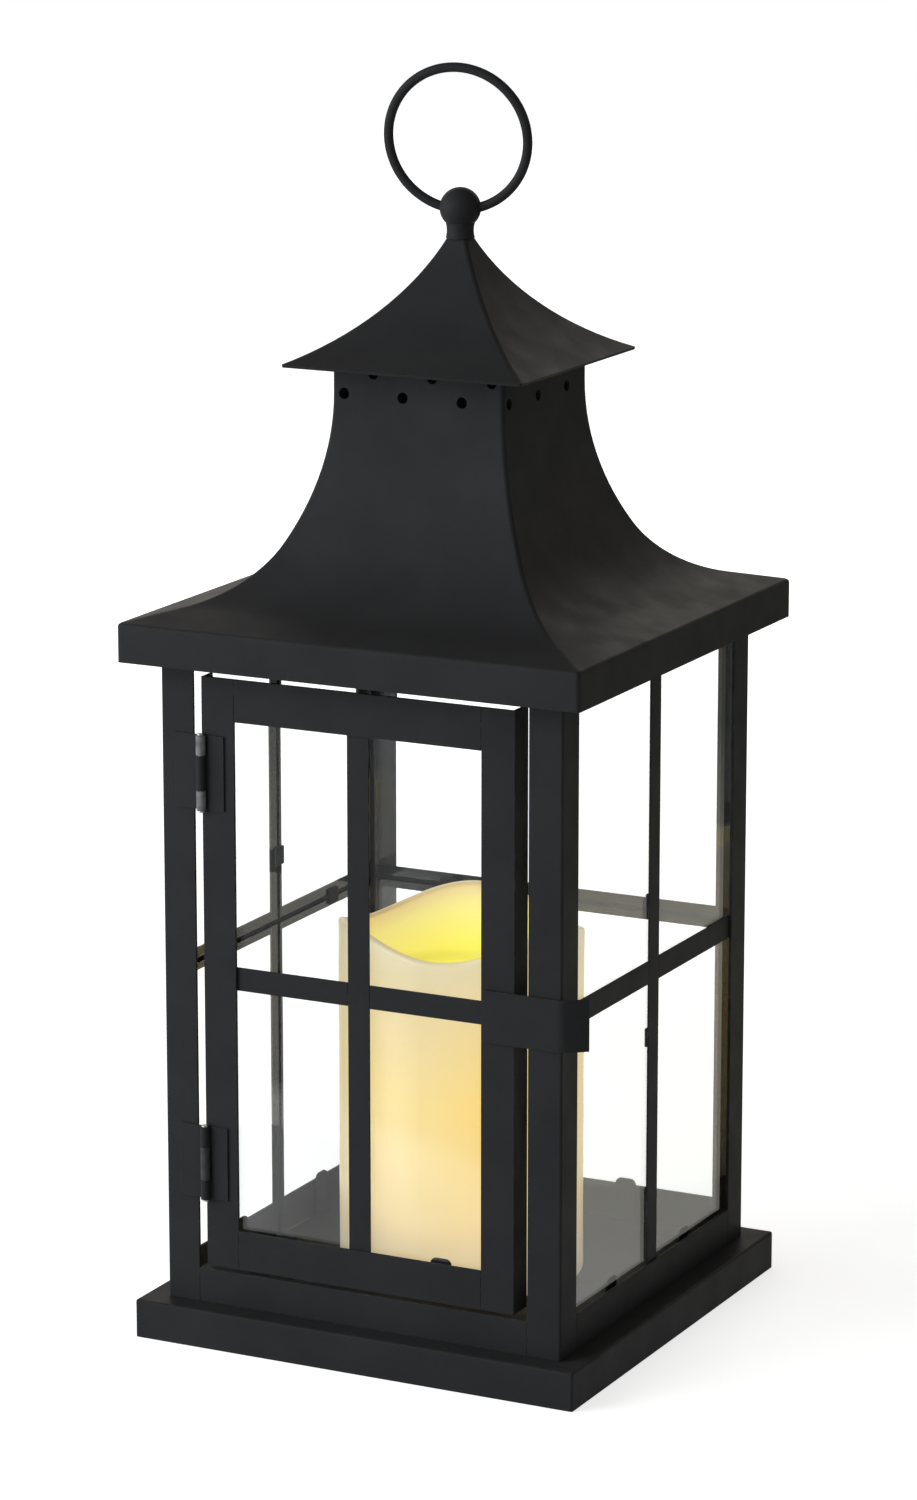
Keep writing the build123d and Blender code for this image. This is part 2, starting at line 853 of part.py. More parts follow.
def switch_slider():
    """Sliding block inside the switch, with a nub that reaches out under the candle."""
    slider = block(
        (switch_rest - switch_block_length / 2, switch_rest + switch_block_length / 2),
        (-switch_offset - switch_block_width / 2, -switch_offset + switch_block_width / 2),
        (switch_block_low, switch_block_top),
    )
    nub = block(
        (switch_rest - switch_nub_length / 2, switch_rest + switch_nub_length / 2),
        (-switch_offset - switch_nub_width / 2, -switch_offset + switch_nub_width / 2),
        (works_bottom - switch_nub_reach, switch_block_top),
    )
    return slider + nub


def switch_housing():
    """Cover over the sliding block, fixed to the base flange."""
    half_length = (switch_block_length + switch_travel) / 2 + switch_play
    half_width = switch_block_width / 2 + switch_play
    room_top = switch_block_top + switch_play
    outer = block(
        (-half_length - switch_wall, half_length + switch_wall),
        (-switch_offset - half_width - switch_wall, -switch_offset + half_width + switch_wall),
        (switch_floor, room_top + switch_wall),
    )
    room = block(
        (-half_length, half_length),
        (-switch_offset - half_width, -switch_offset + half_width),
        (switch_floor - overcut, room_top),
    )
    return outer - room


nodes = {"base_plinth": base_plinth(), "front_sill": front_sill()}
post_turns = {"front_right": 0, "back_right": 90, "back_left": 180, "front_left": 270}
for corner, turn in post_turns.items():
    nodes[corner + "_post"] = Rot(0, 0, turn) * corner_post()
for side, turn in {"right": 90, "back": 180, "left": 270}.items():
    nodes.update(side_nodes(side, turn))
nodes.update(door_nodes())
nodes.update(hinge_nodes())
nodes.update({
    "eave_soffit": eave_soffit(),
    "roof_shell": roof_shell(),
    "roof_cap": roof_cap(),
    "neck_strap": neck_strap(),
    "finial_stud": upright(stud_radius, nut_bottom - stud_tail, collar_top + stud_grip),
    "stud_nut": stud_nut(),
    "finial_collar": finial_collar(),
    "finial_ball": finial_ball(),
    "hang_ring": hang_ring(),
    "candle_shell": candle_shell(),
    "candle_works": candle_works(),
    "battery_cells": battery_cells(),
    "battery_contacts": battery_contacts(),
    "driver_board": upright(board_diameter / 2, works_top, board_top),
    "lamp_holder": lamp_holder(),
    "candle_lamp": candle_lamp(),
    "switch_housing": switch_housing(),
    "switch_slider": switch_slider(),
    "battery_lid": battery_lid(),
    "lid_contact": lid_contact(),
})

os.makedirs("parts", exist_ok=True)
for node, shape in nodes.items():
    export_step(shape, f"parts/{node}.step")
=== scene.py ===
import json
import math

import bmesh
import bpy
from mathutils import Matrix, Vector, noise


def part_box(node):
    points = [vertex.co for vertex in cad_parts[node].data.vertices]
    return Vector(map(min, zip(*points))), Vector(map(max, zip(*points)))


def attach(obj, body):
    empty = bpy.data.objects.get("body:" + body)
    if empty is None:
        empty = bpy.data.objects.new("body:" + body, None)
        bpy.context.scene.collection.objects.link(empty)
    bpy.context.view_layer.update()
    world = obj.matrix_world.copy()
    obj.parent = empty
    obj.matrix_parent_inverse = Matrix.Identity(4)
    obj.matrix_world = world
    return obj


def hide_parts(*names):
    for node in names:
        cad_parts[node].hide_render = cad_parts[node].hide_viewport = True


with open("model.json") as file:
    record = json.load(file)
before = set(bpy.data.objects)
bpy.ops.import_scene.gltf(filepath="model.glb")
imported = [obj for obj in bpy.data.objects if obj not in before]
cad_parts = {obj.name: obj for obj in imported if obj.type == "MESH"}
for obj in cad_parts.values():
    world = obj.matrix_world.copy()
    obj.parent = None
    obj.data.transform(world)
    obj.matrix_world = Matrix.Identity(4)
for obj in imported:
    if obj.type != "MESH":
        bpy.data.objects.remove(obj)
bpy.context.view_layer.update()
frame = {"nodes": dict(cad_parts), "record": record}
record = frame["record"]
bodies = record["behaviour"]["bodies"]
node_body = {node: body for body, members in bodies.items() for node in members}
node_slot = {row["node"]: row["material_slot"] for row in record["subparts"]}

# Sizes are in metres
MM = 0.001
right_angle = math.pi / 2
full_turn = 2 * math.pi

# Sheet steel and its folds
sheet = 1.0 * MM
edge_round = 0.22 * MM
small_edge_round = 0.12 * MM
edge_segments = 2
weld_distance = 0.001 * MM
sharp_angle = math.radians(32)
flat_angle = math.radians(0.6)
smooth_angle = math.radians(60)
fold_radius = 1.3 * MM
hip_radius = 1.3 * MM
corner_steps = 5
fold_steps = 5
hinge_barrel_radius = 1.5 * MM

# Roof, from the frame and from the radii of its sweep
roof_low, roof_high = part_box("roof_shell")
eave_half = roof_high.x
fascia_foot = roof_low.z
neck_top = roof_high.z
neck_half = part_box("neck_strap")[1].x + sheet
eave_run = 14.45 * MM
eave_slope = math.radians(14.0)
fascia_height = 12.3 * MM
lower_sweep_radius = 37.1 * MM
upper_sweep_radius = 100.2 * MM
upper_sweep_turn = math.radians(27.9)
sweep_steps = 14

# Vent holes in the neck, and how far their drills stand out on either side of the sheet
vent_count = 6
vent_radius = 1.8 * MM
vent_margin = 4.1 * MM
vent_upper_drop = 8.0 * MM
vent_row_gap = 6.9 * MM
vent_sides = 32
drill_outside = 3 * sheet
drill_inside = 5 * sheet

# Cap, a concave pyramid
cap_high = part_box("roof_cap")[1]
cap_half = cap_high.x
cap_top = cap_high.z
cap_apex_half = 3.5 * MM
cap_eave_slope = math.radians(24.1)
cap_apex_slope = math.radians(64.3)
cap_steps = 16

# Candle
candle_low, candle_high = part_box("candle_shell")
candle_radius = candle_high.x
candle_bottom = candle_low.z
candle_wall = 3.2 * MM
candle_height = 116.1 * MM
candle_recess = 22.0 * MM
candle_web = 2.5 * MM
candle_bore = candle_radius - candle_wall
candle_top = candle_bottom + candle_height
recess_floor = candle_top - candle_recess
lamp_hole_radius = 3.1 * MM
wave_count = 3
wave_rise = 3.8 * MM
wave_phase = math.radians(108.0)
rim_round = 1.25 * MM
foot_round = 1.6 * MM
recess_round = 3.5 * MM
wax_unevenness = 0.18 * MM
wax_patch = 14 * MM
# Direction across the candle along which its glow gets painted light and shade
painted_light_side = (0.893, 0.449, 0.0)
candle_sides = 144
candle_wall_steps = 26
candle_bore_steps = 6
recess_steps = 12
recess_round_steps = 6
edge_round_steps = 5

# Usual range of the noise that makes surfaces uneven
noise_low = 0.3
noise_high = 0.7

# Floor: in reflections it is bright near the lantern, up to a front edge,
# brightest in a painted pool of light towards the key lamp and warm behind the lantern
floor_half = 3.0
floor_drop = 0.05 * MM
bright_floor_reach = 0.50
dim_floor_reach = 0.90
front_edge_facing = (0.395, -0.919, 0.0)
front_edge_distance = 226 * MM
front_edge_blur = 8 * MM
painted_pool_facing = (-0.793, -0.609, 0.0)
painted_pool_edge = (0.88, 0.94)
painted_pool_glow = (0.46, 1.0)
dim_floor_glow = 0.12
dim_floor_grey = 0.26
warm_floor_depth = 0.2

# Floor as it is seen directly: paler with distance, and brighter behind glass by what the glass takes
fade_floor_reach = (0.30, 0.90)
fade_floor_glow = (0.70, 1.0)
glass_loss = 0.12

# Lamps: angles are in degrees and power is in watts
key_lamp = {
    "azimuth": -46,
    "elevation": 13,
    "distance": 1.3,
    "size": (1.1, 1.2),
    "power": 19.0,
    "colour": (0.95, 0.98, 1.04),
}
back_lamp = {
    "azimuth": 200,
    "elevation": 24,
    "distance": 1.6,
    "size": (1.4, 0.6),
    "power": 3.8,
    "colour": (1.0, 0.93, 0.84),
}

# Camera, solved from the edges of the lantern
camera_azimuth = math.radians(26.69)
camera_elevation = math.radians(13.24)
camera_distance = 1694.15 * MM
camera_target_height = 185.16 * MM
camera_target_shift = -0.566 * MM
camera_lens = 127.43
camera_sensor = 36.0


# Node graphs

def new_tree(name):
    """Empty material and its node tree."""
    material = bpy.data.materials.new(name)
    material.use_nodes = True
    material.node_tree.nodes.clear()
    return material, material.node_tree


def add(tree, kind, inputs=None, **settings):
    """Add a node. An input is a plain value or the output socket of another node."""
    made = tree.nodes.new(kind)
    for name, value in settings.items():
        setattr(made, name, value)
    for key, value in (inputs or {}).items():
        if isinstance(value, bpy.types.NodeSocket):
            tree.links.new(value, made.inputs[key])
        else:
            made.inputs[key].default_value = value
    return made


def grey(value):
    return (value, value, value, 1.0)


def tint(red, green, blue):
    return (red, green, blue, 1.0)


def local_place(tree):
    """Coordinates that stay with the piece when it moves."""
    return add(tree, "ShaderNodeTexCoord").outputs["Object"]


def axis_part(tree, vector, axis):
    """The X, Y or Z part of a vector."""
    return add(tree, "ShaderNodeSeparateXYZ", {0: vector}).outputs[axis]


def vector_node(tree, operation, first, second=(0.0, 0.0, 0.0)):
    return add(tree, "ShaderNodeVectorMath", {0: first, 1: second}, operation=operation)


def along(tree, vector, facing):
    """Length of a vector along a direction."""
    return vector_node(tree, "DOT_PRODUCT", vector, facing).outputs["Value"]


def speckle(tree, place, size, detail=2.0, roughness=0.5):
    """Noise with patches of about the given size."""
    inputs = {"Vector": place, "Scale": 1.0 / size, "Detail": detail, "Roughness": roughness}
    return add(tree, "ShaderNodeTexNoise", inputs).outputs["Fac"]


def remap(tree, value, span, result=(0.0, 1.0)):
    """Number moved from one range to another and held inside it."""
    inputs = {
        "Value": value,
        "From Min": span[0],
        "From Max": span[1],
        "To Min": result[0],
        "To Max": result[1],
    }
    return add(tree, "ShaderNodeMapRange", inputs).outputs["Result"]


def waver(tree, patch, low, high):
    """Number that goes from low to high with the noise."""
    return remap(tree, patch, (noise_low, noise_high), (low, high))


def math_node(tree, operation, first, second=0.0):
    return add(tree, "ShaderNodeMath", {0: first, 1: second}, operation=operation).outputs[0]


def product(tree, first, second):
    """Product of two numbers."""
    return math_node(tree, "MULTIPLY", first, second)


def colour_product(tree, first, second):
    """Product of two colours."""
    inputs = {0: 1.0, 6: first, 7: second}
    return add(tree, "ShaderNodeMix", inputs, data_type="RGBA", blend_type="MULTIPLY").outputs[2]


def blend(tree, factor, first, second):
    """Mix of two colours."""
    return add(tree, "ShaderNodeMix", {0: factor, 6: first, 7: second}, data_type="RGBA").outputs[2]


def blend_values(tree, factor, first, second):
    """Mix of two numbers."""
    return add(tree, "ShaderNodeMix", {0: factor, 2: first, 3: second}, data_type="FLOAT").outputs[0]


def ramp(tree, value, stops):
    """Colour ramp through (position, colour) stops."""
    made = add(tree, "ShaderNodeValToRGB", {"Fac": value})
    elements = made.color_ramp.elements
    while len(elements) < len(stops):
        elements.new(0.5)
    for element, (position, colour) in zip(elements, stops):
        element.position = position
        element.color = colour
    return made.outputs["Color"]


def two_tone(tree, patch, dark, light):
    """Colour that goes from dark to light with the noise."""
    return ramp(tree, patch, [(noise_low, dark), (noise_high, light)])


def bump(tree, height, distance, strength, normal=None):
    inputs = {"Height": height, "Distance": distance, "Strength": strength}
    if normal is not None:
        inputs["Normal"] = normal
    return add(tree, "ShaderNodeBump", inputs).outputs["Normal"]


def attribute(tree, name):
    return add(tree, "ShaderNodeAttribute", attribute_name=name).outputs["Fac"]


def rise_through(tree, place, box):
    """0 at the foot of a box and 1 at its top."""
    low, high = box
    return remap(tree, axis_part(tree, place, "Z"), (low.z, high.z))


def principled(tree, inputs):
    return add(tree, "ShaderNodeBsdfPrincipled", inputs).outputs["BSDF"]


def finish_material(tree, shader):
    add(tree, "ShaderNodeOutputMaterial", {"Surface": shader})


# Materials

def paint_inputs(tree):
    """Satin black powder coat: fine orange peel, soft mottling, a little dust, and thin edges painted paler,
    partly as wear and partly as a painted highlight.
    """
    dust_share = 0.18
    dust_colour = tint(0.055, 0.05, 0.043)
    dusty_slopes = (0.2, 1.0)
    worn_and_highlight_colour = tint(0.055, 0.055, 0.057)
    worn_and_highlight_patches = (0.5, 0.68)
    worn_and_highlight_share = (0.0, 0.8)
    place = local_place(tree)
    mottle = speckle(tree, place, 24 * MM, detail=4.0, roughness=0.6)
    colour = two_tone(tree, mottle, tint(0.0235, 0.0238, 0.0245), tint(0.0285, 0.0288, 0.0295))
    facing = add(tree, "ShaderNodeNewGeometry").outputs["Normal"]
    upward = remap(tree, axis_part(tree, facing, "Z"), dusty_slopes)
    dust = product(tree, upward, speckle(tree, place, 7 * MM, detail=5.0, roughness=0.65))
    colour = blend(tree, product(tree, dust, dust_share), colour, dust_colour)
    # Rounded edges painted paler in patches: partly wear, partly a painted highlight
    wear_and_highlight_patch = remap(tree, speckle(tree, place, 3.5 * MM, detail=3.0), worn_and_highlight_patches, worn_and_highlight_share)
    wear_and_highlight = product(tree, attribute(tree, "edge"), wear_and_highlight_patch)
    colour = blend(tree, wear_and_highlight, colour, worn_and_highlight_colour)
    peel = bump(tree, speckle(tree, place, 0.85 * MM), distance=0.05 * MM, strength=0.5)
    waves = speckle(tree, place, 38 * MM, detail=1.0)
    return {
        "Base Color": colour,
        "Roughness": waver(tree, speckle(tree, place, 11 * MM, detail=3.0), 0.44, 0.54),
        "Specular IOR Level": 0.035,
        "Normal": bump(tree, waves, distance=0.5 * MM, strength=0.5, normal=peel),
    }


def black_paint():
    material, tree = new_tree("black_paint")
    finish_material(tree, principled(tree, paint_inputs(tree)))
    return material


def hinge_paint(name, barrel_grey):
    """Black paint that turns to a flat grey in patches on the barrel of the hinge."""
    barrel_edge = (1.05 * hinge_barrel_radius, 1.15 * hinge_barrel_radius)
    grey_patches = (0.3, 0.6)
    grey_share = (0.5, 1.0)
    material, tree = new_tree(name)
    paint = paint_inputs(tree)
    pin_low, pin_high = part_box("upper_hinge_pin")
    axis = (pin_low + pin_high) / 2
    place = local_place(tree)
    level = vector_node(tree, "MULTIPLY", place, (1.0, 1.0, 0.0)).outputs["Vector"]
    from_axis = vector_node(tree, "DISTANCE", level, (axis.x, axis.y, 0.0)).outputs["Value"]
    barrel = remap(tree, from_axis, barrel_edge, (1.0, 0.0))
    patch = remap(tree, speckle(tree, place, 2.5 * MM, detail=3.0), grey_patches, grey_share)
    paler = product(tree, barrel, patch)
    paint["Base Color"] = blend(tree, paler, paint["Base Color"], grey(barrel_grey))
    finish_material(tree, principled(tree, paint))
    return material


def clear_glass():
    """Float glass with a trace of green; lamps shine through it."""
    material, tree = new_tree("clear_glass")
    place = local_place(tree)
    film = speckle(tree, place, 16 * MM, detail=4.0)
    ripple = speckle(tree, place, 30 * MM, detail=1.0)
    glass = principled(tree, {
        "Base Color": two_tone(tree, film, tint(0.980, 0.988, 0.984), tint(0.992, 0.995, 0.993)),
        "Roughness": 0.0,
        "IOR": 1.5,
        "Transmission Weight": 1.0,
        "Normal": bump(tree, ripple, distance=0.05 * MM, strength=0.4),
    })
    clear = add(tree, "ShaderNodeBsdfTransparent", {"Color": tint(0.94, 0.96, 0.95)}).outputs[0]
    shadow = add(tree, "ShaderNodeLightPath").outputs["Is Shadow Ray"]
    surface = add(tree, "ShaderNodeMixShader", {0: shadow, 1: glass, 2: clear}).outputs[0]
    green = {"Color": tint(0.72, 0.92, 0.82), "Density": 14.0}
    volume = add(tree, "ShaderNodeVolumeAbsorption", green).outputs[0]
    add(tree, "ShaderNodeOutputMaterial", {"Surface": surface, "Volume": volume})
    return material


def wax_glow(tree, place, inner):
    """Painted glow of the lamp through the wax: by depth below the rim, paler near the rim where a highlight
    is painted in, and weaker away from one side of the candle as painted light and shade.
    """
    depth = attribute(tree, "depth")
    # Paler near the rim: a painted highlight on top of the painted glow
    outer_glow = ramp(tree, remap(tree, depth, (0.0, candle_height)), [
        (0.0, tint(0.66, 0.56, 0.34)),
        (0.15, tint(0.77, 0.575, 0.25)),
        (0.42, tint(0.88, 0.60, 0.12)),
        (0.75, tint(0.83, 0.60, 0.25)),
        (0.93, tint(0.57, 0.45, 0.30)),
        (1.0, tint(0.37, 0.295, 0.22)),
    ])
    inner_glow = ramp(tree, remap(tree, depth, (0.0, candle_recess)), [
        (0.0, tint(0.38, 0.25, 0.17)),
        (0.10, tint(0.42, 0.32, 0.26)),
        (0.35, tint(0.52, 0.50, 0.22)),
        (1.0, tint(0.56, 0.53, 0.05)),
    ])
    across = remap(tree, along(tree, place, painted_light_side), (-candle_radius, candle_radius))
    # Painted light and shade on the outside: brightest a little past the middle, dimmer at both edges
    outer_painted_light = ramp(tree, across, [
        (0.0, grey(0.45)),
        (0.06, grey(0.52)),
        (0.19, grey(0.71)),
        (0.35, grey(0.76)),
        (0.54, grey(0.98)),
        (0.85, grey(0.94)),
        (1.0, grey(0.62)),
    ])
    # Painted shade: the recess is dimmer and more orange on the far side
    inner_painted_shade = ramp(tree, across, [
        (0.0, tint(0.76, 0.65, 0.60)),
        (0.35, tint(0.93, 0.90, 0.90)),
        (0.6, grey(0.98)),
    ])
    outer_glow = colour_product(tree, outer_glow, outer_painted_light)
    inner_glow = colour_product(tree, inner_glow, inner_painted_shade)
    return blend(tree, inner, outer_glow, inner_glow)


def ivory_wax():
    """Ivory wax that glows from the lamp in its recess."""
    material, tree = new_tree("ivory_wax")
    place = local_place(tree)
    inner = attribute(tree, "inner")
    cloud = speckle(tree, place, 18 * MM, detail=3.0)
    outer_colour = two_tone(tree, cloud, tint(0.63, 0.55, 0.34), tint(0.67, 0.59, 0.38))
    # Painted lamp light: the recess wall is given a yellower colour than the same wax outside
    recess_painted_light_colour = tint(0.76, 0.69, 0.25)
    dimples = speckle(tree, place, 6 * MM, detail=3.0)
    finish_material(tree, principled(tree, {
        "Base Color": blend(tree, inner, outer_colour, recess_painted_light_colour),
        "Roughness": waver(tree, speckle(tree, place, 9 * MM, detail=3.0), 0.50, 0.58),
        "Specular IOR Level": 1.0,
        "Normal": bump(tree, dimples, distance=0.12 * MM, strength=0.35),
        "Coat Weight": 0.6,
        "Coat Roughness": 0.24,
        "Emission Color": wax_glow(tree, place, inner),
        "Emission Strength": 1.0,
    }))
    return material


def grained_plastic(name, dark, light, roughness):
    """Moulded plastic with a fine grain."""
    spread = 0.06
    material, tree = new_tree(name)
    place = local_place(tree)
    dull_patch = speckle(tree, place, 3 * MM)
    grain = speckle(tree, place, 0.35 * MM)
    finish_material(tree, principled(tree, {
        "Base Color": two_tone(tree, speckle(tree, place, 8 * MM, detail=3.0), dark, light),
        "Roughness": waver(tree, dull_patch, roughness - spread, roughness + spread),
        "Normal": bump(tree, grain, distance=0.02 * MM, strength=0.5),
    }))
    return material


def plain_metal(name, dark, light, roughness):
    """Bare metal with fine scratches and uneven dullness."""
    polished = 0.08
    dulled = 0.1
    stretch = (1.0, 1.0, 0.08)
    material, tree = new_tree(name)
    place = local_place(tree)
    stretched = add(tree, "ShaderNodeMapping", {"Vector": place, "Scale": stretch}).outputs[0]
    scratch = speckle(tree, stretched, 0.4 * MM, detail=3.0)
    finish_material(tree, principled(tree, {
        "Base Color": two_tone(tree, speckle(tree, place, 5 * MM, detail=4.0), dark, light),
        "Metallic": 1.0,
        "Roughness": waver(tree, scratch, roughness - polished, roughness + dulled),
        "Normal": bump(tree, scratch, distance=0.01 * MM, strength=0.4),
    }))
    return material


def cell_wrap():
    """Battery cell: plain dark wrap with a pale band and bare metal ends."""
    wrap_foot = 0.02
    band_foot = 0.72
    wrap_top = 0.975
    stain_share = 0.2
    material, tree = new_tree("cell_wrap")
    place = local_place(tree)
    rise = rise_through(tree, place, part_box("battery_cells"))
    zones = ramp(tree, rise, [
        (0.0, grey(0.5)),
        (wrap_foot, tint(0.02, 0.022, 0.03)),
        (band_foot, tint(0.55, 0.4, 0.16)),
        (wrap_top, grey(0.55)),
    ])
    zones.node.color_ramp.interpolation = "CONSTANT"
    patch = speckle(tree, place, 6 * MM, detail=3.0)
    off_middle = math_node(tree, "SUBTRACT", rise, (wrap_foot + wrap_top) / 2)
    off_middle = math_node(tree, "ABSOLUTE", off_middle)
    finish_material(tree, principled(tree, {
        "Base Color": blend(tree, product(tree, patch, stain_share), zones, grey(0.1)),
        "Metallic": math_node(tree, "GREATER_THAN", off_middle, (wrap_top - wrap_foot) / 2),
        "Roughness": waver(tree, patch, 0.22, 0.34),
    }))
    return material


def board_green():
    """Circuit board with fine copper tracks under green varnish."""
    track_pitch = 4 * MM
    material, tree = new_tree("board_green")
    place = local_place(tree)
    tracks = add(tree, "ShaderNodeTexBrick", {
        "Vector": place,
        "Scale": 1.0 / track_pitch,
        "Mortar Size": 0.08,
        "Color1": grey(0.0),
        "Color2": grey(0.0),
        "Mortar": grey(1.0),
    }).outputs["Color"]
    patch = speckle(tree, place, 5 * MM, detail=3.0)
    varnish = two_tone(tree, patch, tint(0.012, 0.09, 0.03), tint(0.02, 0.13, 0.045))
    finish_material(tree, principled(tree, {
        "Base Color": blend(tree, tracks, varnish, tint(0.06, 0.2, 0.05)),
        "Roughness": waver(tree, patch, 0.25, 0.4),
        "Normal": bump(tree, tracks, distance=0.03 * MM, strength=0.5),
    }))
    return material


def lamp_lens():
    """Clear lens of the small lamp, lit warm at its tip."""
    material, tree = new_tree("lamp_lens")
    place = local_place(tree)
    glow = ramp(tree, rise_through(tree, place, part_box("candle_lamp")), [
        (0.0, tint(0.3, 0.16, 0.03)),
        (0.6, tint(0.9, 0.6, 0.15)),
        (1.0, tint(1.0, 0.85, 0.4)),
    ])
    finish_material(tree, principled(tree, {
        "Base Color": tint(0.9, 0.78, 0.5),
        "Roughness": waver(tree, speckle(tree, place, 1 * MM), 0.1, 0.2),
        "Emission Color": glow,
        "Emission Strength": 1.0,
    }))
    return material


materials = {
    "black_paint": black_paint(),
    "clear_glass": clear_glass(),
    "ivory_wax": ivory_wax(),
    "bright_steel": plain_metal("bright_steel", grey(0.42), grey(0.55), 0.34),
    "contact_brass": plain_metal("contact_brass", tint(0.6, 0.42, 0.16), tint(0.72, 0.52, 0.22), 0.3),
    "ivory_plastic": grained_plastic("ivory_plastic", tint(0.66, 0.6, 0.47), tint(0.72, 0.66, 0.53), 0.45),
    "switch_black": grained_plastic("switch_black", grey(0.012), grey(0.018), 0.5),
    "cell_wrap": cell_wrap(),
    "board_green": board_green(),
    "lamp_lens": lamp_lens(),
}
grey_barrel_leaves = {
    "upper_hinge_post_leaf": hinge_paint("upper_hinge_paint", 0.20),
    "lower_hinge_post_leaf": hinge_paint("lower_hinge_paint", 0.06),
}


# Shapes

def new_object(name, data):
    """New object in the scene."""
    made = bpy.data.objects.new(name, data)
    bpy.context.scene.collection.objects.link(made)
    return made


def to_mesh(shape, name):
    """Mesh of a finished shape."""
    mesh = bpy.data.meshes.new(name)
    shape.to_mesh(mesh)
    shape.free()
    return mesh


def closed_mesh(shape, name):
    """Mesh of a finished closed shape, with its faces turned outward."""
    bmesh.ops.recalc_face_normals(shape, faces=shape.faces)
    return to_mesh(shape, name)


def dressed_mesh(node, rounding):
    """Copy of a node's mesh with its flat faces joined and its sharp edges rounded."""
    shape = bmesh.new()
    shape.from_mesh(frame["nodes"][node].data)
    bmesh.ops.remove_doubles(shape, verts=shape.verts, dist=weld_distance)
    bmesh.ops.dissolve_limit(shape, angle_limit=flat_angle, verts=shape.verts, edges=shape.edges)
    sharp = [edge for edge in shape.edges if edge.is_manifold and edge.calc_face_angle() > sharp_angle]
    # Rounded faces are marked so that the paint paints them paler, partly as wear and partly as a painted
    # highlight
    paler = shape.faces.layers.float.new("edge")
    rounded = bmesh.ops.bevel(
        shape,
        geom=sharp,
        offset=rounding,
        segments=edge_segments,
        profile=0.5,
        affect="EDGES",
        clamp_overlap=True,
    )
    for face in rounded["faces"]:
        face[paler] = 1.0
    return to_mesh(shape, node + "_finished")


def polar(centre, radius, angle):
    """Point at a distance and an angle from a centre; angles are in radians from +X towards +Z."""
    return (centre[0] + radius * math.cos(angle), centre[1] + radius * math.sin(angle))


def arc(centre, radius, start, end, steps):
    """Points along an arc, both ends included."""
    return [polar(centre, radius, start + (end - start) * step / steps) for step in range(steps + 1)]


def straight(start, end, steps):
    """Points after the start up to the end."""
    return [
        (start[0] + (end[0] - start[0]) * step / steps, start[1] + (end[1] - start[1]) * step / steps)
        for step in range(1, steps + 1)
    ]


def quarter_turned(x, y, quarter):
    """Point turned about the upright axis by a number of quarter turns."""
    turn = quarter * right_angle
    return (x * math.cos(turn) - y * math.sin(turn), x * math.sin(turn) + y * math.cos(turn))


def skin(shape, rings, closed):
    """Faces between rings of equal size, in order."""
    pairs = list(zip(rings, rings[1:]))
    if closed:
        pairs.append((rings[-1], rings[0]))
    for first, second in pairs:
        count = len(first)
        for index in range(count):
            after = (index + 1) % count
            shape.faces.new((first[index], first[after], second[after], second[index]))


def square_ring(shape, half, height, corner):
    """Vertices of a level square with rounded corners."""
    ring = []
    for quarter in range(4):
        for x, y in arc((half - corner, half - corner), corner, 0.0, right_angle, corner_steps):
            ring.append(shape.verts.new((*quarter_turned(x, y, quarter), height)))
    return ring


def square_shell(name, outer, inner):
    """Four-sided sheet shell between an outer outline and an inner one, both from top to bottom."""
    shape = bmesh.new()
    rings = [square_ring(shape, half, height, hip_radius) for half, height in outer]
    inner_corner = hip_radius - sheet
    rings += [square_ring(shape, half, height, inner_corner) for half, height in reversed(inner)]
    skin(shape, rings, closed=True)
    return closed_mesh(shape, name)


def roof_outline(inset):
    """Outline of the roof from the top of the neck to the foot of the fascia, moved in by the inset."""
    slope_turn = right_angle - eave_slope
    bend = math.pi + upper_sweep_turn
    sweep_foot = (eave_half - eave_run, fascia_foot + fascia_height + eave_run * math.tan(eave_slope))
    lower_centre = polar(sweep_foot, lower_sweep_radius, slope_turn)
    upper_centre = polar(lower_centre, upper_sweep_radius - lower_sweep_radius, upper_sweep_turn)
    points = [(neck_half - inset, neck_top)]
    points += arc(upper_centre, upper_sweep_radius + inset, math.pi, bend, sweep_steps)
    points += arc(lower_centre, lower_sweep_radius + inset, bend, math.pi + slope_turn, sweep_steps)[1:]
    eave_x, eave_z = points[-1]
    radius = fold_radius - inset
    fold_x = eave_half - fold_radius
    eave_line = eave_z - (fold_x + radius * math.sin(eave_slope) - eave_x) * math.tan(eave_slope)
    fold_z = eave_line - radius * math.cos(eave_slope)
    points += arc((fold_x, fold_z), radius, slope_turn, 0.0, fold_steps)
    points.append((eave_half - inset, fascia_foot))
    return points


def cap_outline(inset):
    """Outline of the cap from its apex to its eave, moved in by the inset."""
    radius = (cap_half - cap_apex_half) / (math.sin(cap_apex_slope) - math.sin(cap_eave_slope))
    centre = (cap_half + radius * math.sin(cap_eave_slope), cap_top + radius * math.cos(cap_apex_slope))
    start = math.pi + right_angle - cap_apex_slope
    end = math.pi + right_angle - cap_eave_slope
    return arc(centre, radius + inset, start, end, cap_steps)


def drill(shape, across, height, quarter):
    """Add a level round bar that goes through one face of the neck."""
    rings = []
    for depth in (neck_half + drill_outside, neck_half - drill_inside):
        ring = []
        for side in range(vent_sides):
            sideways, upward = polar((across, height), vent_radius, full_turn * side / vent_sides)
            ring.append(shape.verts.new((*quarter_turned(sideways, -depth, quarter), upward)))
        rings.append(ring)
    skin(shape, rings, closed=False)
    for ring in rings:
        shape.faces.new(ring)


